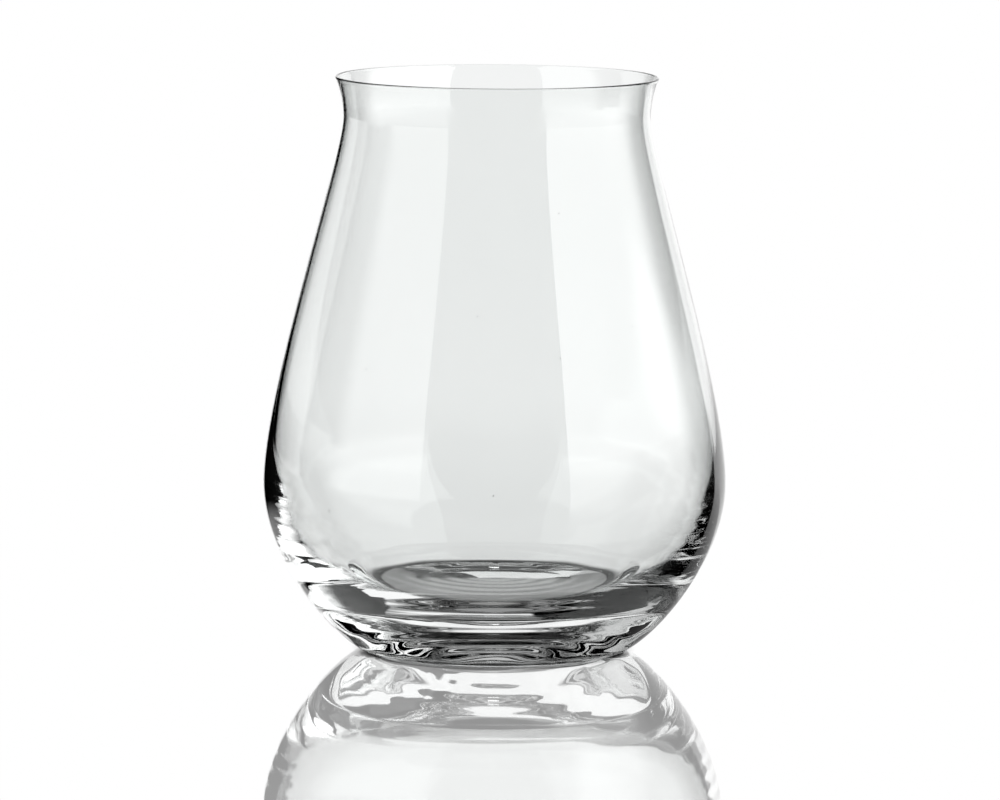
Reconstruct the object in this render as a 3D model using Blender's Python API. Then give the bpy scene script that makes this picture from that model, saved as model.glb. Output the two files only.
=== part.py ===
"""A stemless beer glass: one turned body of clear glass, standing on z = 0 with its axis along +Z.

The outline is worked out once, in the plane y = 0, from the middle of the inner floor up the inside,
over the rim and down the outside to the middle of the underside. It is then turned about the axis.
"""

import math

import bpy
import numpy as np

# Radii of the outside, in metres.
FOOT_RADIUS = 0.0251
BELLY_RADIUS = 0.0465
NECK_RADIUS = 0.0308
RIM_RADIUS = 0.0324

# Heights of the outside, each measured from the top of the one before it.
BELLY_HEIGHT = 0.0337
SHOULDER_HEIGHT = 0.0734
LIP_HEIGHT = 0.00795

# The bends of the outside. A pull is how far a curve runs on along its end's direction.
HEEL_RADIUS = 0.0052
HEEL_ANGLE = math.radians(26)
HEEL_PULL = 0.0066
BELLY_PULL_DOWN = 0.0150
BELLY_PULL_UP = 0.0181
NECK_PULL_DOWN = 0.0076
NECK_PULL_UP = 0.0016
RIM_FLARE = math.radians(27)
RIM_PULL = 0.0029

# The wall, measured level: thin at the neck and rim, thicker at the belly.
NECK_WALL = 0.0007
BELLY_WALL = 0.0023
WALL_TAPER = 7

# The inside of the base: a shallow floor, a soft corner, then a slope that runs up into the wall.
FLOOR_HEIGHT = 0.0097
FLOOR_PULL = 0.0127
CORNER_RADIUS = 0.0309
CORNER_HEIGHT = 0.01245
CORNER_SLOPE = math.radians(32.2)
CORNER_PULL_IN = 0.0012
CORNER_PULL_OUT = 0.0056
INNER_BELLY_PULL = 0.0124

# The underside: a flat ring to stand on, round a shallow hollow.
STANDING_RING_WIDTH = 0.0076
HOLLOW_DEPTH = 0.0016

# How finely each stretch of the outline, and the turn itself, is divided.
TURN_STEPS = 64
HEEL_STEPS = 4
BOWL_STEPS = 9
SHOULDER_STEPS = 11
LIP_STEPS = 4
RIM_STEPS = 6
FLOOR_STEPS = 6
SLOPE_STEPS = 9
HOLLOW_STEPS = 4
AXIS_MERGE = 0.00001

GLASS_COLOUR = (0.97, 0.985, 0.98, 1.0)
GLASS_ROUGHNESS = 0.0
GLASS_INDEX = 1.52


def clear_scene():
    """Remove every object that the scene starts with."""
    for item in list(bpy.data.objects):
        bpy.data.objects.remove(item, do_unlink=True)


def curve(start, start_pull, end_pull, end, steps):
    """Points of a cubic Bezier curve from start to end, drawn out by the two pulls."""
    t = np.linspace(0.0, 1.0, steps + 1)[:, None]
    first, second = np.add(start, start_pull), np.add(end, end_pull)
    ends = (1 - t) ** 3 * np.asarray(start) + t**3 * np.asarray(end)
    return ends + 3 * (1 - t) ** 2 * t * first + 3 * (1 - t) * t**2 * second


def arc(centre, radius, first_angle, last_angle, steps):
    """Points of a circular arc; an angle is measured from +X towards +Z."""
    angle = np.linspace(first_angle, last_angle, steps + 1)
    return np.add(centre, radius * np.stack([np.cos(angle), np.sin(angle)], axis=1))


def heel():
    """The rounded edge where the standing ring turns up into the bowl, bottom to top."""
    lowest = -math.pi / 2
    return arc((FOOT_RADIUS, HEEL_RADIUS), HEEL_RADIUS, lowest, lowest + HEEL_ANGLE, HEEL_STEPS)


def bowl(heel_end):
    """The outside from the heel up to the belly."""
    out_and_up = HEEL_PULL * np.array([math.cos(HEEL_ANGLE), math.sin(HEEL_ANGLE)])
    belly = (BELLY_RADIUS, BELLY_HEIGHT)
    return curve(heel_end, out_and_up, (0, -BELLY_PULL_DOWN), belly, BOWL_STEPS)


def upper_wall():
    """The outside from the belly to the rim, and the same stretch of the inside, bottom to top."""
    belly = (BELLY_RADIUS, BELLY_HEIGHT)
    neck = (NECK_RADIUS, BELLY_HEIGHT + SHOULDER_HEIGHT)
    rim = (RIM_RADIUS, BELLY_HEIGHT + SHOULDER_HEIGHT + LIP_HEIGHT)
    rim_back = -RIM_PULL * np.array([math.sin(RIM_FLARE), math.cos(RIM_FLARE)])
    shoulder = curve(belly, (0, BELLY_PULL_UP), (0, -NECK_PULL_DOWN), neck, SHOULDER_STEPS)
    lip = curve(neck, (0, NECK_PULL_UP), rim_back, rim, LIP_STEPS)
    outside = np.vstack([shoulder, lip[1:]])
    rise = np.clip((outside[:, 1] - BELLY_HEIGHT) / SHOULDER_HEIGHT, 0, 1)
    wall = NECK_WALL + (BELLY_WALL - NECK_WALL) * (1 - rise) ** WALL_TAPER
    inside = np.stack([outside[:, 0] - wall, outside[:, 1]], axis=1)
    return outside, inside


def rim_round(inner_end, outer_end):
    """The half round over the rim, from the inside to the outside, without its ends."""
    centre = (inner_end + outer_end) / 2
    radius = (outer_end[0] - inner_end[0]) / 2
    return arc(centre, radius, math.pi, 0.0, RIM_STEPS)[1:-1]


def inner_floor(inner_belly):
    """The inside from the middle of the floor out to its corner, and up to the belly."""
    corner = (CORNER_RADIUS, CORNER_HEIGHT)
    uphill = np.array([math.cos(CORNER_SLOPE), math.sin(CORNER_SLOPE)])
    floor = curve((0, FLOOR_HEIGHT), (FLOOR_PULL, 0), -CORNER_PULL_IN * uphill, corner, FLOOR_STEPS)
    wall_lean = (BELLY_WALL - NECK_WALL) * WALL_TAPER / SHOULDER_HEIGHT
    belly_back = -INNER_BELLY_PULL * np.array([wall_lean, 1])
    slope = curve(corner, CORNER_PULL_OUT * uphill, belly_back, inner_belly, SLOPE_STEPS)
    return np.vstack([floor, slope[1:]])


def hollow():
    """The shallow dome under the base, from the standing ring in to the axis."""
    edge = FOOT_RADIUS - STANDING_RING_WIDTH
    radius = (edge**2 + HOLLOW_DEPTH**2) / (2 * HOLLOW_DEPTH)
    edge_angle = math.acos(edge / radius)
    return arc((0, HOLLOW_DEPTH - radius), radius, edge_angle, math.pi / 2, HOLLOW_STEPS)


def outline():
    """The whole outline as (radius, height) rows, from the inner floor to the underside."""
    heel_points = heel()
    bowl_points = bowl(heel_points[-1])
    outside, inside = upper_wall()
    floor_points = inner_floor(inside[0])
    rim_points = rim_round(inside[-1], outside[-1])
    down_outside = np.vstack([outside[::-1], bowl_points[-2::-1], heel_points[-2::-1]])
    rows = np.vstack([floor_points, inside[1:], rim_points, down_outside, hollow()])
    on_axis = rows[:, 0] < AXIS_MERGE
    rows[on_axis, 0] = 0.0
    return rows


def clear_glass():
    """Plain, colourless polished glass."""
    material = bpy.data.materials.new("clear_glass")
    material.use_nodes = True
    shader = material.node_tree.nodes["Principled BSDF"]
    shader.inputs["Base Color"].default_value = GLASS_COLOUR
    shader.inputs["Metallic"].default_value = 0.0
    shader.inputs["Roughness"].default_value = GLASS_ROUGHNESS
    shader.inputs["IOR"].default_value = GLASS_INDEX
    shader.inputs["Transmission Weight"].default_value = 1.0
    return material


def make_glass():
    """The outline as a line of edges, turned about +Z by a Screw modifier."""
    rows = outline()
    points = [(radius, 0.0, height) for radius, height in rows]
    edges = [(i, i + 1) for i in range(len(points) - 1)]
    mesh = bpy.data.meshes.new("glass")
    mesh.from_pydata(points, edges, [])
    mesh.materials.append(clear_glass())
    glass = bpy.data.objects.new("glass", mesh)
    bpy.context.collection.objects.link(glass)
    turn = glass.modifiers.new("turn", "SCREW")
    turn.axis = "Z"
    turn.steps = TURN_STEPS
    turn.render_steps = TURN_STEPS
    turn.use_merge_vertices = True
    turn.merge_threshold = AXIS_MERGE
    turn.use_smooth_shade = True
    return glass


def main():
    clear_scene()
    make_glass()


main()
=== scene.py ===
"""A stemless beer glass on a white gloss table, as an add-on that is run as a script.

A white sheet stands behind the glass, two tall soft boxes and a card stand at its sides, and a small lamp
and a dim ceiling with round lights hang over it.
"""

import math

import bpy
import numpy as np
from mathutils import Matrix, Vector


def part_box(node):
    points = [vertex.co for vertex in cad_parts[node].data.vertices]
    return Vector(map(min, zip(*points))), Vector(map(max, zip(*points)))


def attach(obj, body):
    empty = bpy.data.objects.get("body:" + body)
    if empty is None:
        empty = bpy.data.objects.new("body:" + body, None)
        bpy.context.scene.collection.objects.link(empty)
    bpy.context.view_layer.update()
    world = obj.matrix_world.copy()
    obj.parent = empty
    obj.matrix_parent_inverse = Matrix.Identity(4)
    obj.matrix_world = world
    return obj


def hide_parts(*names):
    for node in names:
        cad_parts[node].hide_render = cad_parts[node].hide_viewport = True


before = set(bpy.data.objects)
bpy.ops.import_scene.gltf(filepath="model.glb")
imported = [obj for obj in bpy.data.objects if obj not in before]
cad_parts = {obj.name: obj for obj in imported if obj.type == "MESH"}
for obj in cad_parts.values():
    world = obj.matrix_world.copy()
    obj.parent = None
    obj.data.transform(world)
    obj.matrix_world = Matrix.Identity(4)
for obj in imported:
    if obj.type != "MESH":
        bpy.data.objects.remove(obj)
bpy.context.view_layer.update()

bl_info = {
    "name": "Stemless Beer Glass",
    "version": (1, 0, 0),
    "blender": (4, 5, 0),
    "location": "View3D > Sidebar > Beer Glass",
    "description": "Builds a turned stemless beer glass and the white table and soft boxes round it",
    "category": "Object",
}

GLASS_NODE = "glass"
BODY = "root"

_, CAD_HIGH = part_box(GLASS_NODE)
CAD_BELLY_RADIUS = float(CAD_HIGH.x)

# How finely each stretch of the outline, and each upright sheet of the stage, is divided.
FLOOR_STEPS = 60
SLOPE_STEPS = 110
SHOULDER_STEPS = 72
LIP_STEPS = 24
RIM_STEPS = 12
BOWL_STEPS = 60
HEEL_STEPS = 14
HOLLOW_STEPS = 24
SHEET_STEPS_ROUND = 24
SHEET_STEPS_UP = 8

# How the faint rings stray from their own level: waves of (size, times round the glass, shift), in radians.
INSIDE_STRAY = ((0.6, 1, 0.8), (0.3, 2, 0.0))
OUTSIDE_STRAY = ((0.9, 2, 0.5), (0.6, 3, 0.0))
BASE_STRAY = ((0.7, 1, 0.4), (0.5, 3, 1.0))
# The power of a cosine that keeps the side rings near the two sides.
SIDE_NARROWNESS = 14

# Where the stage stands, in metres.
TABLE_HALF = 3.2
TABLE_DROP = 0.0002
BACKDROP_DISTANCE = 3.0
BACKDROP_HEIGHT = 2.5
BOX_DISTANCE = 1.0
CEILING_HALF = 2.6
CEILING_HEIGHT = 2.6
LAMP_HEIGHT = 2.5

# Soft edges of the stage's light: turns in radians, a length in metres, and multiples of an edge's start.
SIDE_FADE = 0.3
POOL_FADE = 0.15
FRONT_CUT = (1.3, 1.5)
TOUCH_FADE = 0.0006
NEAR_FADE = 1.5
POOL_GROWTH = 5
FOOT_FADE = 1.3
TOP_FADE = 0.8
HOOP_SOFTNESS = 0.1

# Finish: a speck's darkest share, the cloud values between which the polish fades, the detail of the glass's
# uneven face, and the refractive index of the table's gloss.
SPECK_CORE = 0.6
SMUDGE_CLOUDS = (0.45, 0.75)
WAVE_DETAIL = 1.0
TABLE_INDEX = 1.5

# Bounds for counts of bounces and of passes through glass, which are whole numbers.
UNDER_ONE = 0.5
OVER_ONE = 1.5

SENSOR_WIDTH = 36.0
CLIP_NEAR, CLIP_FAR = 0.01, 100.0
BOUNCES = 32
WHITE = (1.0, 1.0, 1.0, 1.0)


def length(name, description, default, low=0.0, high=5.0):
    """A property that holds a length in metres."""
    return bpy.props.FloatProperty(
        name=name, description=description, default=default, min=low, max=high,
        precision=5, subtype="DISTANCE", unit="LENGTH",
    )


def angle(name, description, degrees):
    """A property that holds an angle, given here in degrees."""
    return bpy.props.FloatProperty(
        name=name, description=description, default=math.radians(degrees),
        min=-math.tau, max=math.tau, subtype="ANGLE", unit="ROTATION",
    )


def number(name, description, default, low=0.0, high=100.0):
    """A property that holds a plain number."""
    return bpy.props.FloatProperty(name=name, description=description, default=default, min=low, max=high)


def share(name, description, default):
    """A property that holds a share from 0 to 1."""
    return bpy.props.FloatProperty(
        name=name, description=description, default=default, min=0.0, max=1.0, subtype="FACTOR",
    )


def colour(name, description, default):
    """A property that holds a colour."""
    return bpy.props.FloatVectorProperty(
        name=name, description=description, default=default, size=4, min=0.0, max=1.0, subtype="COLOR",
    )


def count(name, description, default):
    """A property that holds a whole number of steps."""
    return bpy.props.IntProperty(name=name, description=description, default=default, min=2, max=1024)


class BeerGlassSizes(bpy.types.PropertyGroup):
    """The outline of the glass, its wall, its base and its faint rings."""

    foot_radius: length("Foot Radius", "Outer edge of the ring that it stands on", 0.0251)
    belly_radius: length("Belly Radius", "Widest part of the outside", CAD_BELLY_RADIUS)
    neck_radius: length("Neck Radius", "Narrowest part above the belly", 0.0308)
    rim_radius: length("Rim Radius", "Outside of the flared rim", 0.0324)
    belly_height: length("Belly Height", "Table to the belly", 0.0337)
    shoulder_height: length("Shoulder Height", "Belly to the neck", 0.0734)
    lip_height: length("Lip Height", "Neck to the start of the rim's round", 0.00795)
    heel_radius: length("Heel Radius", "Round where the foot turns up", 0.0052)
    heel_angle: angle("Heel Angle", "How far the heel's round turns", 26)
    heel_pull: length("Heel Pull", "How far the bowl runs on from the heel", 0.0066)
    belly_pull_down: length("Belly Pull Down", "How far the bowl runs on below the belly", 0.0150)
    belly_pull_up: length("Belly Pull Up", "How far the shoulder runs on above the belly", 0.0181)
    neck_pull_down: length("Neck Pull Down", "How far the shoulder runs on below the neck", 0.0076)
    neck_pull_up: length("Neck Pull Up", "How far the lip runs on above the neck", 0.0016)
    rim_flare: angle("Rim Flare", "Lean of the rim from upright", 27)
    rim_pull: length("Rim Pull", "How far the lip runs on below the rim", 0.0029)
    neck_wall: length("Neck Wall", "Thickness of the glass at the neck and rim, measured level", 0.0007)
    belly_wall: length("Belly Wall", "Thickness of the glass at the belly, measured level", 0.0023)
    wall_taper: number("Wall Taper", "How fast the wall thins above the belly", 7)
    floor_height: length("Floor Height", "Table to the middle of the inner floor", 0.0097)
    floor_pull: length("Floor Pull", "How far the inner floor runs on level from its middle", 0.0127)
    corner_radius: length("Corner Radius", "Axis to the corner of the inner floor", 0.0309)
    corner_height: length("Corner Height", "Table to the corner of the inner floor", 0.01245)
    corner_slope: angle("Corner Slope", "Slope of the inside at that corner", 32.2)
    corner_pull_in: length("Corner Pull In", "How far the corner runs on towards the floor", 0.0012)
    corner_pull_out: length("Corner Pull Out", "How far the corner runs on towards the wall", 0.0056)
    inner_belly_pull: length("Inner Belly Pull", "How far the inside runs on below the belly", 0.0124)
    ring_width: length("Standing Ring Width", "Flat ring that the glass stands on", 0.0076)
    hollow_depth: length("Hollow Depth", "Rise of the hollow under the base", 0.0016)
    ripple_depth: length("Ripple Depth", "Half height of the faint rings on the inside", 0.000020)
    ripple_fall: length("Ripple Fall", "Height over which those rings grow fainter", 0.0060)
    ripple_upper: share("Upper Ripples", "Depth of the upper rings as a share of the lowest", 0.15)
    ripple_low: length("Ripple Low", "Table to the lowest of those rings", 0.0090)
    ripple_high: length("Ripple High", "Table to the highest of those rings", 0.0400)
    ripple_step: length("Ripple Step", "Height of the lowest ring", 0.0022)
    ripple_growth: number("Ripple Growth", "How much taller the highest ring is than the lowest", 1.5)
    side_depth: length("Side Ripple Depth", "Half height of the rings at the glass's two sides", 0.000028)
    side_low: length("Side Ripple Low", "Table to where the rings at the sides start", 0.0160)
    side_high: length("Side Ripple High", "Table to where the rings at the sides end", 0.0370)
    bowl_depth: length("Bowl Ripple Depth", "Half height of the faint rings low on the outside", 0.000010)
    bowl_low: length("Bowl Ripple Low", "Table to where the rings on the outside start", 0.0008)
    bowl_high: length("Bowl Ripple High", "Table to where the rings on the outside end", 0.0240)
    bowl_step: length("Bowl Ripple Step", "Height of a ring on the outside", 0.0030)
    floor_rings: length("Floor Ring Depth", "Half height of the faint rings on the inner floor", 0.000018)
    hollow_rings: length("Hollow Ring Depth", "Half height of the faint rings under the base", 0.000006)
    ring_step: length("Ring Step", "Distance from one of those rings to the next", 0.0045)
    turn_steps: count("Turn Steps", "Points round the glass", 192)


class BeerGlassFinish(bpy.types.PropertyGroup):
    """How the glass itself looks."""

    tint: colour("Tint", "Colour of the glass", (0.985, 0.995, 0.99, 1.0))
    cloud_tint: colour("Cloud Tint", "Colour of the glass where it is denser", (0.965, 0.98, 0.975, 1.0))
    cloud_scale: number("Cloud Scale", "Faint clouds of tint and gloss to a metre", 40, 0.1, 1000)
    smudge: share("Smudge", "Roughness where the polish is least", 0.018)
    wave_scale: number("Wave Scale", "Faint uneven places to a metre", 45, 0.1, 1000)
    wave_depth: length("Wave Depth", "Depth of those uneven places", 0.00003)
    speck_scale: number("Speck Scale", "Specks of dust to a metre", 125, 0.1, 1000)
    speck_size: number("Speck Size", "Radius of a speck as a share of the space between", 0.022, 0.0, 1.0)
    speck_light: share("Speck Light", "Light that a speck lets through", 0.12)
    index: number("Refractive Index", "How strongly the glass bends light", 1.52, 1.0, 3.0)


class BeerGlassStage(bpy.types.PropertyGroup):
    """The camera, the lights and the table; a turn is from straight behind, positive to the right."""

    camera_distance: length("Camera Distance", "Level distance from the glass's axis", 1.41397)
    camera_height: length("Camera Height", "Height over the table", 0.22382)
    camera_lens: number("Lens", "Focal length in millimetres on a 36 mm sensor", 255.2, 1, 1000)
    camera_pitch: angle("Camera Pitch", "How far it looks down", 7.0)
    camera_yaw: angle("Camera Yaw", "How far it looks to the right", 0.041)
    camera_roll: angle("Camera Roll", "How far it leans", 0.385)
    dark: share("Dark Studio", "Grey of the unlit room", 0.004)
    backdrop_left: angle("Backdrop Left", "Turn to the left edge of the lit sheet behind", -14)
    backdrop_fade: angle("Backdrop Fade", "How far the lit sheet fades at its edges", 2)
    backdrop_right: angle("Backdrop Right", "Turn to the right edge of the lit sheet behind", 37)
    backdrop_spread: angle("Backdrop Spread", "Turn to the sheet's own two edges", 45)
    backdrop_low: length("Backdrop Low", "Height up to which the lit sheet is white", 0.20)
    backdrop_high: length("Backdrop High", "Height from which the lit sheet is dim", 0.50)
    backdrop_top: length("Backdrop Top", "Height at which the light of the sheet's upper part ends", 1.1)
    backdrop_dim: share("Backdrop Dimness", "Light of the sheet's upper part", 0.3)
    ceiling_level: share("Ceiling Level", "Light of the studio's ceiling", 0.005)
    hoop_level: number("Hoop Level", "Brightness of the round lights on the ceiling", 0.60)
    hoop_step: length("Hoop Step", "Distance from one round light to the next", 1.4)
    hoop_share: number("Hoop Share", "How narrow the round lights are, from -1 to 1", 0.35, -1.0, 1.0)
    top_level: number("Top Light Level", "Brightness of the lamp overhead", 2.0)
    top_back: length("Top Light Place", "How far behind the glass the lamp overhead hangs", -0.8, -3.0, 3.0)
    top_half: length("Top Light Half Width", "Half the width of the lamp overhead", 0.08)
    left_low: length("Left Box Foot", "Height of the left soft box's and the card's lower edge", 0.3)
    box_height: length("Soft Box Height", "Height of the soft boxes over the table", 1.8)
    right_near: angle("Right Box Near Edge", "Turn to the right soft box's near edge", 57)
    right_far: angle("Right Box Far Edge", "Turn to the right soft box's far edge", 143)
    right_fade: angle("Right Box Fade", "How far the right soft box fades in from its near edge", 18)
    right_level: number("Right Box Level", "Brightness of the right soft box", 1.7)
    left_near: angle("Left Box Near Edge", "Turn to the left soft box's near edge", -88)
    left_far: angle("Left Box Far Edge", "Turn to the left soft box's far edge", -144)
    left_fade: angle("Left Box Fade", "How far the left soft box fades in from its near edge", -15)
    left_level: number("Left Box Level", "Brightness of the left soft box", 1.1)
    card_near: angle("Card Near Edge", "Turn to the left card's near edge", -32)
    card_fade: angle("Card Fade", "How far the left card fades in from its near edge", -8)
    card_far: angle("Card Far Edge", "Turn to the left card's far edge", -68)
    card_level: number("Card Level", "Brightness of the left card", 0.6)
    # The dark line at the foot is a painted contact shadow on the table, and the grey under the base is
    # painted shade.
    touch: length("Touch", "Distance from the axis to the dark line at the foot", 0.0252)
    shade_start: length("Shade Start", "Distance from the axis where that line starts to fade", 0.0262)
    shade_end: length("Shade End", "Distance from the axis where that line has faded", 0.0290)
    shade_depth: share("Shade Depth", "Light that is left in that line", 0.03)
    hollow_light: share("Hollow Light", "Light on the table under the hollow", 0.38)
    # Painted shade: seen through the glass, the table near the glass is dimmer.
    near_dim: share("Near Dimness", "Light of the table close to the glass, as seen through it", 0.91)
    near_start: length("Near Start", "Distance from the axis up to which the table is that dim", 0.06)
    near_end: length("Near End", "Distance from the axis where that dimness ends", 0.35)
    # Painted pools of light on the table, found only where glass mirrors it: close to the glass, behind it
    # and before the soft boxes.
    near_reach: length("Near Reach", "How far from the axis the table is lit close to the glass", 0.13)
    near_left: angle("Near Left", "Turn to the left end of that light", -75)
    pool_near: angle("Pool Near Edge", "Turn to the side pools' near edges", 100)
    pool_far: angle("Pool Far Edge", "Turn to the side pools' far edges", 140)
    pool_start: length("Pool Start", "Distance from the axis where the side pools start", 0.10)
    pool_right: number("Right Pool", "Table light before the right soft box, as glass mirrors it", 1.2)
    table_gloss: number("Table Gloss", "How strongly the table mirrors at a low angle", 1.75)
    table_roughness: share("Table Roughness", "Blur of the table's mirror", 0.02)


def sizes():
    return bpy.context.scene.beer_glass_sizes


def finish():
    return bpy.context.scene.beer_glass_finish


def stage():
    return bpy.context.scene.beer_glass_stage


def curve(start, start_pull, end_pull, end, steps):
    """Cubic Bezier curve from start to end.

    The ends weigh (1-t)^3 and t^3, and the two pulled points 3(1-t)^2 t and 3(1-t)t^2.
    """
    t = np.linspace(0.0, 1.0, steps + 1)[:, None]
    first, second = np.add(start, start_pull), np.add(end, end_pull)
    ends = (1 - t) ** 3 * np.asarray(start) + t**3 * np.asarray(end)
    return ends + 3 * (1 - t) ** 2 * t * first + 3 * (1 - t) * t**2 * second


def arc(centre, radius, first_angle, last_angle, steps):
    """Circular arc: the centre plus the radius times (cosine, sine) of an angle that runs evenly."""
    turn = np.linspace(first_angle, last_angle, steps + 1)
    return np.add(centre, radius * np.stack([np.cos(turn), np.sin(turn)], axis=1))


def upper_wall(s):
    """The outside from belly to rim as two Bezier curves, and the inside of the same stretch.

    The inside is the outside less a wall that thins by a power of the height.
    """
    belly = (s.belly_radius, s.belly_height)
    neck = (s.neck_radius, s.belly_height + s.shoulder_height)
    rim = (s.rim_radius, s.belly_height + s.shoulder_height + s.lip_height)
    rim_back = -s.rim_pull * np.array([math.sin(s.rim_flare), math.cos(s.rim_flare)])
    shoulder = curve(belly, (0, s.belly_pull_up), (0, -s.neck_pull_down), neck, SHOULDER_STEPS)
    lip = curve(neck, (0, s.neck_pull_up), rim_back, rim, LIP_STEPS)
    outside = np.vstack([shoulder, lip[1:]])
    rise = np.clip((outside[:, 1] - s.belly_height) / s.shoulder_height, 0, 1)
    wall = s.neck_wall + (s.belly_wall - s.neck_wall) * (1 - rise) ** s.wall_taper
    inside = np.stack([outside[:, 0] - wall, outside[:, 1]], axis=1)
    return outside, inside


def inner_floor(s, inner_belly):
    """The inside from the middle of the floor to the belly.

    Two Bezier curves share one slope at the corner, and the second ends in the wall's own slope.
    """
    corner = (s.corner_radius, s.corner_height)
    slope = np.array([math.cos(s.corner_slope), math.sin(s.corner_slope)])
    floor = curve((0, s.floor_height), (s.floor_pull, 0), -s.corner_pull_in * slope, corner, FLOOR_STEPS)
    lean = (s.belly_wall - s.neck_wall) * s.wall_taper / s.shoulder_height
    below = (-s.inner_belly_pull * lean, -s.inner_belly_pull)
    wall = curve(corner, s.corner_pull_out * slope, below, inner_belly, SLOPE_STEPS)
    return np.vstack([floor, wall[1:]])


def outline(s):
    """The outline as (radius, height) rows: inner floor, inside, rim, outside, heel, ring and hollow."""
    lowest = -math.pi / 2
    heel = arc((s.foot_radius, s.heel_radius), s.heel_radius, lowest, lowest + s.heel_angle, HEEL_STEPS)
    out_and_up = s.heel_pull * np.array([math.cos(s.heel_angle), math.sin(s.heel_angle)])
    belly = (s.belly_radius, s.belly_height)
    bowl = curve(heel[-1], out_and_up, (0, -s.belly_pull_down), belly, BOWL_STEPS)
    outside, inside = upper_wall(s)
    floor = inner_floor(s, inside[0])
    middle = (inside[-1] + outside[-1]) / 2
    rim = arc(middle, (outside[-1, 0] - inside[-1, 0]) / 2, math.pi, 0.0, RIM_STEPS)[1:-1]
    edge = s.foot_radius - s.ring_width
    dome = (edge**2 + s.hollow_depth**2) / (2 * s.hollow_depth)
    hollow = arc((0, s.hollow_depth - dome), dome, math.acos(edge / dome), math.pi / 2, HOLLOW_STEPS)
    rows = np.vstack([floor, inside[1:], rim, outside[::-1], bowl[-2::-1], heel[-2::-1], hollow])
    rows[[0, -1], 0] = 0.0
    return rows


def stray(waves, around):
    """The sum of size times sin(times * angle + shift) over the waves."""
    return sum(size * np.sin(times * around + shift) for size, times, shift in waves)


def swell(height, low, high):
    """Half a sine wave of the height: 0 up to low and from high, and 1 midway."""
    return np.sin(math.pi * np.clip((height - low) / (high - low), 0.0, 1.0))


def ripples(s, rows, around):
    """How far out the faint rings of the wall lie.

    Inside: depth times a sine of the height, whose period grows evenly with height; the depth falls off by
    a bell curve, and more is added at the two sides by a power of a cosine. Outside: a sine of the height
    with one period, less its own depth, so that it stays within the outline.
    """
    inside = np.arange(len(rows)) <= np.argmax(rows[:, 1])
    height = rows[:, 1:]
    span = s.ripple_high - s.ripple_low
    rise = np.clip((height - s.ripple_low) / span, 0.0, 1.0)
    growth = s.ripple_growth - 1.0
    turns = span / s.ripple_step * np.log1p(growth * rise) / growth
    falling = np.exp(-((rise * span / s.ripple_fall) ** 2))
    depth = s.ripple_depth * (s.ripple_upper + (1 - s.ripple_upper) * falling)
    depth = depth * np.sin(math.pi * rise) ** 0.5
    side = s.side_depth * swell(height, s.side_low, s.side_high) * np.cos(around) ** SIDE_NARROWNESS
    inner = (depth + side) * np.sin(math.tau * turns + stray(INSIDE_STRAY, around))
    bowl = s.bowl_depth * swell(height, s.bowl_low, s.bowl_high)
    outer = bowl * (np.sin(math.tau * height / s.bowl_step + stray(OUTSIDE_STRAY, around)) - 1.0)
    return np.where(inside[:, None], inner, outer)


def base_rings(s, rows, around):
    """How far up the faint rings of the floor and of the underside lie.

    Depth times a sine of the distance from the axis, where the depth is half a sine wave out to the edge.
    """
    order = np.arange(len(rows))
    top = np.argmax(rows[:, 1])
    hollow_edge = s.foot_radius - s.ring_width
    floor = (order < top) & (rows[:, 1] < s.corner_height)
    under = (order > top) & (rows[:, 1] < s.hollow_depth) & (rows[:, 0] < hollow_edge)
    spread = np.where(floor, s.corner_radius, hollow_edge)
    depth = np.where(floor, s.floor_rings, np.where(under, s.hollow_rings, 0.0))
    fade = depth * swell(rows[:, 0], 0.0, spread)
    return fade[:, None] * np.sin(math.tau * rows[:, :1] / s.ring_step + stray(BASE_STRAY, around))


def turned(s, rows):
    """Vertices and faces of the rows turned about +Z.

    The grid is (r cos a, r sin a, z), r and z with their faint rings, and each pole is one point.
    """
    steps = s.turn_steps
    around = np.linspace(0.0, math.tau, steps, endpoint=False)
    radius = rows[1:-1, :1] + ripples(s, rows[1:-1], around)
    height = rows[1:-1, 1:] + base_rings(s, rows[1:-1], around)
    grid = np.stack([radius * np.cos(around), radius * np.sin(around), height], axis=2)
    points = np.vstack([grid.reshape(-1, 3), [[0, 0, rows[0, 1]]], [[0, 0, rows[-1, 1]]]])
    here = np.arange(grid.shape[0] * steps).reshape(-1, steps)
    ahead = np.roll(here, -1, axis=1)
    quads = np.stack([here[:-1], here[1:], ahead[1:], ahead[:-1]], axis=2).reshape(-1, 4)
    floor_pole, hollow_pole = np.full(steps, len(points) - 2), np.full(steps, len(points) - 1)
    floor_fan = np.stack([floor_pole, here[0], ahead[0]], axis=1)
    hollow_fan = np.stack([hollow_pole, ahead[-1], here[-1]], axis=1)
    return points, quads.tolist() + floor_fan.tolist() + hollow_fan.tolist()


def new_piece(name, points, faces, material):
    """A smooth mesh object at the origin with one material."""
    mesh = bpy.data.meshes.new(name)
    mesh.from_pydata(np.asarray(points).tolist(), [], faces)
    mesh.polygons.foreach_set("use_smooth", np.ones(len(mesh.polygons), dtype=bool))
    mesh.materials.append(material)
    mesh.update()
    piece = bpy.data.objects.new(name, mesh)
    bpy.context.scene.collection.objects.link(piece)
    return piece


def node_material(name):
    """A material with an empty node tree, its tree and its output's surface socket."""
    material = bpy.data.materials.new(name)
    material.use_nodes = True
    tree = material.node_tree
    tree.nodes.clear()
    output = tree.nodes.new("ShaderNodeOutputMaterial")
    return material, tree, output.inputs["Surface"]


def feed(tree, socket, value):
    """Link an output socket to an input, or set the input to a number or a colour."""
    if isinstance(value, bpy.types.NodeSocket):
        tree.links.new(value, socket)
    else:
        socket.default_value = value


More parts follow.
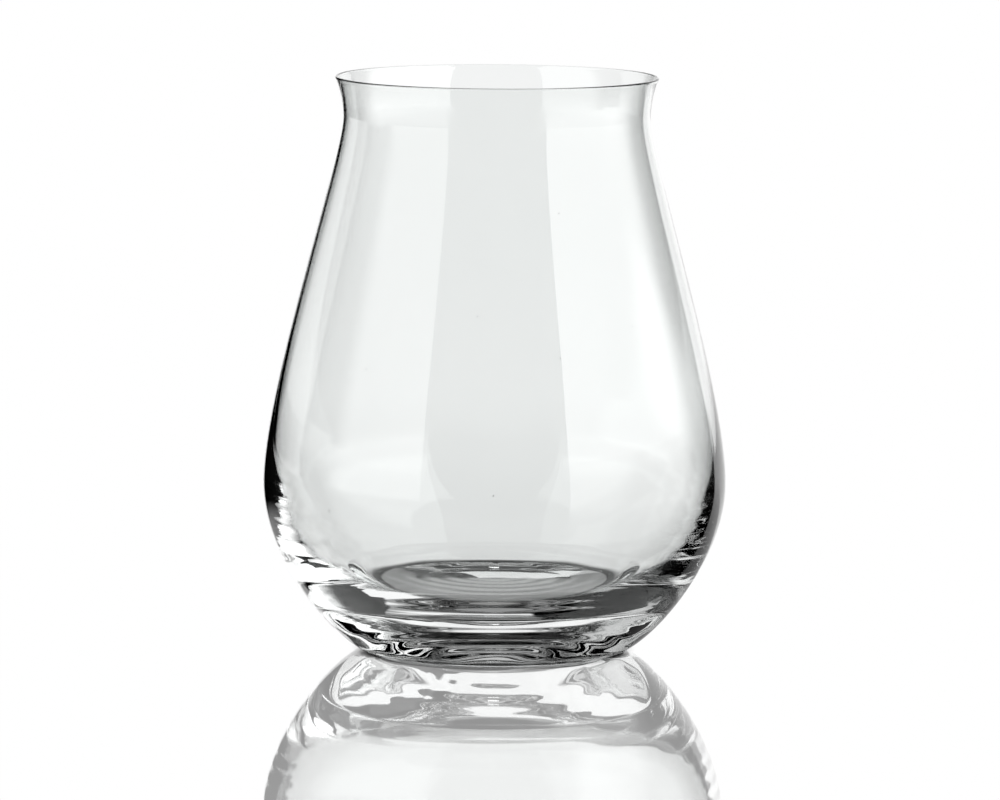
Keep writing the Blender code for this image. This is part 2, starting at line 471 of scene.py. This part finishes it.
def link_math(tree, operation, first, second=0.0, clamp=False):
    """A Math node whose inputs are sockets or numbers; gives its output socket."""
    node = tree.nodes.new("ShaderNodeMath")
    node.operation = operation
    node.use_clamp = clamp
    feed(tree, node.inputs[0], first)
    feed(tree, node.inputs[1], second)
    return node.outputs["Value"]


def product(tree, first, *others):
    """Sockets or numbers multiplied together; gives the output socket."""
    for other in others:
        first = link_math(tree, "MULTIPLY", first, other)
    return first


def smooth_step(tree, value, start, end, low=0.0, high=1.0):
    """A smooth step from low to high as value goes from start to end; gives its output socket."""
    node = tree.nodes.new("ShaderNodeMapRange")
    node.interpolation_type = "SMOOTHSTEP"
    node.inputs["From Min"].default_value = start
    node.inputs["From Max"].default_value = end
    node.inputs["To Min"].default_value = low
    node.inputs["To Max"].default_value = high
    tree.links.new(value, node.inputs["Value"])
    return node.outputs["Result"]


def mix_values(tree, factor, first, second):
    """A Mix node between two sockets or numbers; gives its output socket."""
    node = tree.nodes.new("ShaderNodeMix")
    feed(tree, node.inputs["Factor"], factor)
    feed(tree, node.inputs["A"], first)
    feed(tree, node.inputs["B"], second)
    return node.outputs["Result"]


def mix_colours(tree, blend, factor, first, second):
    """A Mix node between two colours, each a socket or a colour; gives its output socket."""
    node = tree.nodes.new("ShaderNodeMix")
    node.data_type = "RGBA"
    node.blend_type = blend
    ends = [socket for socket in node.inputs if socket.type == "RGBA"]
    for socket, value in zip((node.inputs["Factor"], *ends), (factor, first, second)):
        feed(tree, socket, value)
    return next(socket for socket in node.outputs if socket.type == "RGBA")


def turn_and_reach(tree, aside=0.0):
    """Sockets for the turn about an upright line, the distance from it and the height.

    The turn is from straight behind, positive to the right. The line is the axis, or lies aside to its left.
    """
    place = tree.nodes.new("ShaderNodeTexCoord")
    split = tree.nodes.new("ShaderNodeSeparateXYZ")
    tree.links.new(place.outputs["Object"], split.inputs["Vector"])
    x, y = link_math(tree, "ADD", split.outputs["X"], aside), split.outputs["Y"]
    square = link_math(tree, "ADD", product(tree, x, x), product(tree, y, y))
    return link_math(tree, "ARCTAN2", x, y), link_math(tree, "SQRT", square), split.outputs["Z"]


def deep_light(tree):
    """1 for light that has bounced at least twice off glass or table, else 0; gives its socket."""
    path = tree.nodes.new("ShaderNodeLightPath")
    return link_math(tree, "GREATER_THAN", path.outputs["Glossy Depth"], OVER_ONE)


def open_light(tree):
    """1 for light that has not passed through glass, and 0 for the rest; gives its output socket."""
    path = tree.nodes.new("ShaderNodeLightPath")
    return link_math(tree, "LESS_THAN", path.outputs["Transmission Depth"], UNDER_ONE)


def white_light(tree, level, surface):
    """A white glow of the level that a socket gives, as the material's surface."""
    light = tree.nodes.new("ShaderNodeEmission")
    tree.links.new(level, light.inputs["Strength"])
    tree.links.new(light.outputs["Emission"], surface)


def past_left(tree, turn):
    """0 to the left of the lit sheet and 1 from there on, with a soft edge; gives its output socket."""
    s = stage()
    return smooth_step(tree, turn, s.backdrop_left, s.backdrop_left + s.backdrop_fade)


def short_of_right(tree, turn):
    """1 up to the lit sheet's right edge and 0 beyond it, with a soft edge; gives its output socket."""
    s = stage()
    return smooth_step(tree, turn, s.backdrop_right, s.backdrop_right + s.backdrop_fade, 1.0, 0.0)


def backdrop_white():
    """The sheet behind, lit between two soft edges; light through glass finds it dimmer above."""
    material, tree, surface = node_material("backdrop_white")
    s = stage()
    turn, _, height = turn_and_reach(tree)
    climb = smooth_step(tree, height, s.backdrop_low, s.backdrop_high, 1.0, s.backdrop_dim)
    top = s.backdrop_top
    climb = product(tree, climb, smooth_step(tree, height, TOP_FADE * top, top, 1.0, 0.0))
    climb = link_math(tree, "MAXIMUM", climb, open_light(tree))
    white_light(tree, product(tree, past_left(tree, turn), short_of_right(tree, turn), climb), surface)
    return material


def lamp_overhead():
    """A small lamp that shows only in light that has bounced at least twice."""
    material, tree, surface = node_material("top_soft_light")
    white_light(tree, product(tree, deep_light(tree), stage().top_level), surface)
    return material


def hoop_ceiling():
    """A dim ceiling with round lights about the axis, for light that has bounced at least twice.

    The lights are a sine of the distance from the axis, cut off softly.
    """
    material, tree, surface = node_material("ceiling_white")
    s = stage()
    _, reach, _ = turn_and_reach(tree)
    wave = link_math(tree, "SINE", product(tree, reach, math.tau / s.hoop_step))
    low, high = s.hoop_share - HOOP_SOFTNESS, s.hoop_share + HOOP_SOFTNESS
    level = smooth_step(tree, wave, low, high, s.ceiling_level, s.hoop_level)
    white_light(tree, product(tree, level, deep_light(tree)), surface)
    return material


def glow(name, strength, edge, foot=None):
    """A white glow whose edge is (turn where dark, turn where full).

    Below the height foot, light that has bounced at least twice finds none.
    """
    material, tree, surface = node_material(name)
    turn, _, height = turn_and_reach(tree)
    level = product(tree, smooth_step(tree, turn, *edge), strength)
    if foot:
        over_foot = smooth_step(tree, height, foot, FOOT_FADE * foot)
        level = product(tree, level, mix_values(tree, deep_light(tree), 1.0, over_foot))
    white_light(tree, level, surface)
    return material


def clear_glass():
    """Polished colourless glass.

    It has faint clouds in its tint and gloss, a faintly uneven face and a few specks of dust.
    """
    material, tree, surface = node_material("clear_glass")
    f = finish()
    place = tree.nodes.new("ShaderNodeTexCoord").outputs["Object"]
    cloud = tree.nodes.new("ShaderNodeTexNoise")
    cloud.inputs["Scale"].default_value = f.cloud_scale
    wave = tree.nodes.new("ShaderNodeTexNoise")
    wave.inputs["Scale"].default_value = f.wave_scale
    wave.inputs["Detail"].default_value = WAVE_DETAIL
    dust = tree.nodes.new("ShaderNodeTexVoronoi")
    dust.inputs["Scale"].default_value = f.speck_scale
    for texture in (cloud, wave, dust):
        tree.links.new(place, texture.inputs["Vector"])
    tint = mix_colours(tree, "MIX", cloud.outputs["Fac"], f.tint, f.cloud_tint)
    core = SPECK_CORE * f.speck_size
    speck = smooth_step(tree, dust.outputs["Distance"], core, f.speck_size, f.speck_light, 1.0)
    bump = tree.nodes.new("ShaderNodeBump")
    bump.inputs["Strength"].default_value = 1.0
    bump.inputs["Distance"].default_value = f.wave_depth
    tree.links.new(wave.outputs["Fac"], bump.inputs["Height"])
    smudge = smooth_step(tree, cloud.outputs["Fac"], *SMUDGE_CLOUDS, 0.0, f.smudge)
    glass = tree.nodes.new("ShaderNodeBsdfPrincipled")
    glass.inputs["IOR"].default_value = f.index
    glass.inputs["Transmission Weight"].default_value = 1.0
    tree.links.new(mix_colours(tree, "MULTIPLY", 1.0, tint, speck), glass.inputs["Base Color"])
    tree.links.new(smudge, glass.inputs["Roughness"])
    tree.links.new(bump.outputs["Normal"], glass.inputs["Normal"])
    tree.links.new(glass.outputs["BSDF"], surface)
    return material


def table_behind(tree, turn, away, reach, deep):
    """Light on the table behind the glass, as the glass mirrors it; gives its output socket.

    Deep light finds it as wide as the lit sheet. For the rest its left edge is seen from the belly's left
    side, and the table close to the glass is lit too.
    """
    s = stage()
    edge_turn, _, _ = turn_and_reach(tree, sizes().belly_radius)
    edge_left = product(tree, past_left(tree, edge_turn), smooth_step(tree, away, *FRONT_CUT, 1.0, 0.0))
    close = smooth_step(tree, reach, s.near_reach, NEAR_FADE * s.near_reach, 1.0, 0.0)
    close = product(tree, close, smooth_step(tree, turn, s.near_left, s.near_left + SIDE_FADE))
    plain_left = link_math(tree, "MAXIMUM", edge_left, close)
    left = mix_values(tree, deep, plain_left, past_left(tree, turn))
    return product(tree, left, short_of_right(tree, turn))


def table_pools(tree, turn, away, reach, deep):
    """Light on the table before the two soft boxes, as the glass mirrors it; gives its output socket.

    Deep light finds only the right one, and nearer to the front.
    """
    s = stage()
    far = smooth_step(tree, away, s.pool_far, s.pool_far + POOL_FADE, 1.0, 0.0)
    near = smooth_step(tree, away, s.right_near, s.right_near + s.right_fade)
    near = product(tree, near, smooth_step(tree, reach, s.pool_start, POOL_GROWTH * s.pool_start))
    deep_near = smooth_step(tree, away, s.pool_near, s.pool_near + SIDE_FADE)
    on_right = link_math(tree, "GREATER_THAN", turn, 0.0)
    level = mix_values(tree, on_right, mix_values(tree, deep, s.left_level, 0.0), s.pool_right)
    return product(tree, level, far, mix_values(tree, deep, near, deep_near))


def gloss_table():
    """White gloss sheet: white to the eye, with painted shade that makes it a little dimmer through glass, a
    painted contact shadow in a line at the foot and painted grey shade under the glass's base.

    Where glass mirrors it, it has painted pools of light behind the glass and before the soft boxes. It
    mirrors by Fresnel.
    """
    material, tree, surface = node_material("white_gloss_table")
    s = stage()
    turn, reach, _ = turn_and_reach(tree)
    away = link_math(tree, "ABSOLUTE", turn)
    deep = deep_light(tree)
    direct = open_light(tree)
    path = tree.nodes.new("ShaderNodeLightPath")
    bounced = link_math(tree, "MINIMUM", path.outputs["Glossy Depth"], 1.0)
    # Painted contact shadow: a dark line on the table just outside the foot; inside the foot the table has
    # painted grey shade.
    shade = smooth_step(tree, reach, s.shade_start, s.shade_end, s.shade_depth, 1.0)
    beyond_foot = smooth_step(tree, reach, s.touch - TOUCH_FADE, s.touch)
    lit = mix_values(tree, beyond_foot, s.hollow_light, shade)
    # Painted pools of light: where glass mirrors the table, it is lit behind the glass and before the soft
    # boxes.
    behind = table_behind(tree, turn, away, reach, deep)
    mirrored = link_math(tree, "MAXIMUM", behind, table_pools(tree, turn, away, reach, deep))
    # Painted shade: light that has passed through glass finds the table near the glass dimmer.
    seen_through = smooth_step(tree, reach, s.near_start, s.near_end, s.near_dim, 1.0)
    plain = link_math(tree, "MAXIMUM", seen_through, direct)
    white = tree.nodes.new("ShaderNodeEmission")
    tree.links.new(product(tree, mix_values(tree, bounced, plain, mirrored), lit), white.inputs["Strength"])
    gloss = tree.nodes.new("ShaderNodeBsdfGlossy")
    gloss.inputs["Color"].default_value = WHITE
    gloss.inputs["Roughness"].default_value = s.table_roughness
    slant = tree.nodes.new("ShaderNodeFresnel")
    slant.inputs["IOR"].default_value = TABLE_INDEX
    mirror = link_math(tree, "MULTIPLY", slant.outputs["Fac"], s.table_gloss, True)
    mix = tree.nodes.new("ShaderNodeMixShader")
    tree.links.new(product(tree, mirror, direct), mix.inputs["Fac"])
    tree.links.new(white.outputs["Emission"], mix.inputs[1])
    tree.links.new(gloss.outputs["BSDF"], mix.inputs[2])
    tree.links.new(mix.outputs["Shader"], surface)
    return material


def level_square(name, half, height, material, back=0.0):
    """A level square at a height, its middle behind the axis by back."""
    near, far = back - half, back + half
    corners = [(-half, near, height), (half, near, height), (half, far, height), (-half, far, height)]
    return new_piece(name, corners, [(0, 1, 2, 3)], material)


def light_only(sheet):
    """Keep a sheet out of the camera's view and out of the shadows, as part of the stage."""
    sheet.visible_camera = False
    sheet.visible_shadow = False


def upright_sheet(name, first, last, distance, height, material):
    """An upright sheet round the glass, from the table up.

    Its grid is (d sin a, d cos a, z), with a from straight behind, positive to the right.
    """
    around = np.linspace(first, last, SHEET_STEPS_ROUND + 1)
    up = np.linspace(0.0, height, SHEET_STEPS_UP + 1)
    turn, level = np.meshgrid(around, up)
    grid = np.stack([distance * np.sin(turn), distance * np.cos(turn), level], axis=2)
    index = np.arange(turn.size).reshape(turn.shape)
    corners = [index[:-1, :-1], index[1:, :-1], index[1:, 1:], index[:-1, 1:]]
    quads = np.stack(corners, axis=2).reshape(-1, 4)
    light_only(new_piece(name, grid.reshape(-1, 3), quads.tolist(), material))


def studio_world():
    """A dark room that a camera sees as white."""
    world = bpy.data.worlds.new("studio")
    bpy.context.scene.world = world
    world.use_nodes = True
    tree = world.node_tree
    tree.nodes.clear()
    path = tree.nodes.new("ShaderNodeLightPath")
    grey = stage().dark
    back = tree.nodes.new("ShaderNodeBackground")
    output = tree.nodes.new("ShaderNodeOutputWorld")
    colours = mix_colours(tree, "MIX", path.outputs["Is Camera Ray"], (grey, grey, grey, 1.0), WHITE)
    tree.links.new(colours, back.inputs["Color"])
    tree.links.new(back.outputs["Background"], output.inputs["Surface"])


def place_camera():
    """A long lens in front of the glass, a little above its rim."""
    s = stage()
    data = bpy.data.cameras.new("camera")
    data.sensor_width = SENSOR_WIDTH
    data.lens = s.camera_lens
    data.clip_start, data.clip_end = CLIP_NEAR, CLIP_FAR
    camera = bpy.data.objects.new("camera", data)
    bpy.context.scene.collection.objects.link(camera)
    camera.matrix_world = (
        Matrix.Translation((0.0, -s.camera_distance, s.camera_height))
        @ Matrix.Rotation(-s.camera_yaw, 4, "Z")
        @ Matrix.Rotation(math.pi / 2 - s.camera_pitch, 4, "X")
        @ Matrix.Rotation(s.camera_roll, 4, "Z")
    )
    bpy.context.scene.camera = camera


class BEERGLASS_OT_glass(bpy.types.Operator):
    """Turn the glass's outline into its clear body"""

    bl_idname = "beerglass.glass"
    bl_label = "Glass Body"
    bl_options = {"REGISTER", "UNDO"}

    def execute(self, context):
        points, faces = turned(sizes(), outline(sizes()))
        piece = new_piece("glass_body", points, faces, clear_glass())
        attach(piece, BODY)
        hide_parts(GLASS_NODE)
        return {"FINISHED"}


class BEERGLASS_OT_stage(bpy.types.Operator):
    """Set the white gloss table, the lights, the room and the camera"""

    bl_idname = "beerglass.stage"
    bl_label = "Table, Light and Camera"
    bl_options = {"REGISTER", "UNDO"}

    def execute(self, context):
        scene = context.scene
        scene.view_settings.view_transform = "Standard"
        scene.cycles.max_bounces = BOUNCES
        scene.cycles.glossy_bounces = BOUNCES
        scene.cycles.transmission_bounces = BOUNCES
        scene.cycles.caustics_reflective = False
        scene.cycles.caustics_refractive = False
        studio_world()
        place_camera()
        table = level_square("table", TABLE_HALF, -TABLE_DROP, gloss_table())
        s = stage()
        spread = s.backdrop_spread
        upright_sheet("backdrop", -spread, spread, BACKDROP_DISTANCE, BACKDROP_HEIGHT, backdrop_white())
        right = glow("right_soft_light", s.right_level, (s.right_near, s.right_near + s.right_fade))
        left = glow("left_soft_light", s.left_level, (s.left_near, s.left_near + s.left_fade), s.left_low)
        card = glow("left_card_white", s.card_level, (s.card_near, s.card_near + s.card_fade), s.left_low)
        upright_sheet("soft_box_right", s.right_near, s.right_far, BOX_DISTANCE, s.box_height, right)
        upright_sheet("soft_box_left", s.left_far, s.left_near, BOX_DISTANCE, s.box_height, left)
        upright_sheet("card_left", s.card_far, s.card_near, BOX_DISTANCE, s.box_height, card)
        light_only(level_square("ceiling", CEILING_HALF, CEILING_HEIGHT, hoop_ceiling()))
        light_only(level_square("top_light", s.top_half, LAMP_HEIGHT, lamp_overhead(), s.top_back))
        return {"FINISHED"}


class BEERGLASS_PT_panel(bpy.types.Panel):
    """Lists the glass and the stage in the 3D view's sidebar"""

    bl_label = "Beer Glass"
    bl_idname = "BEERGLASS_PT_panel"
    bl_space_type = "VIEW_3D"
    bl_region_type = "UI"
    bl_category = "Beer Glass"

    def draw(self, context):
        layout = self.layout
        layout.operator(BEERGLASS_OT_stage.bl_idname)
        layout.operator(BEERGLASS_OT_glass.bl_idname)
        for group in (sizes(), finish(), stage()):
            box = layout.box()
            for name in group.__annotations__:
                box.prop(group, name)


CLASSES = (
    BeerGlassSizes,
    BeerGlassFinish,
    BeerGlassStage,
    BEERGLASS_OT_glass,
    BEERGLASS_OT_stage,
    BEERGLASS_PT_panel,
)


def register():
    for item in CLASSES:
        bpy.utils.register_class(item)
    bpy.types.Scene.beer_glass_sizes = bpy.props.PointerProperty(type=BeerGlassSizes)
    bpy.types.Scene.beer_glass_finish = bpy.props.PointerProperty(type=BeerGlassFinish)
    bpy.types.Scene.beer_glass_stage = bpy.props.PointerProperty(type=BeerGlassStage)


def unregister():
    del bpy.types.Scene.beer_glass_stage
    del bpy.types.Scene.beer_glass_finish
    del bpy.types.Scene.beer_glass_sizes
    for item in reversed(CLASSES):
        bpy.utils.unregister_class(item)


def main():
    register()
    bpy.ops.beerglass.stage()
    bpy.ops.beerglass.glass()


if __name__ == "__main__":
    main()
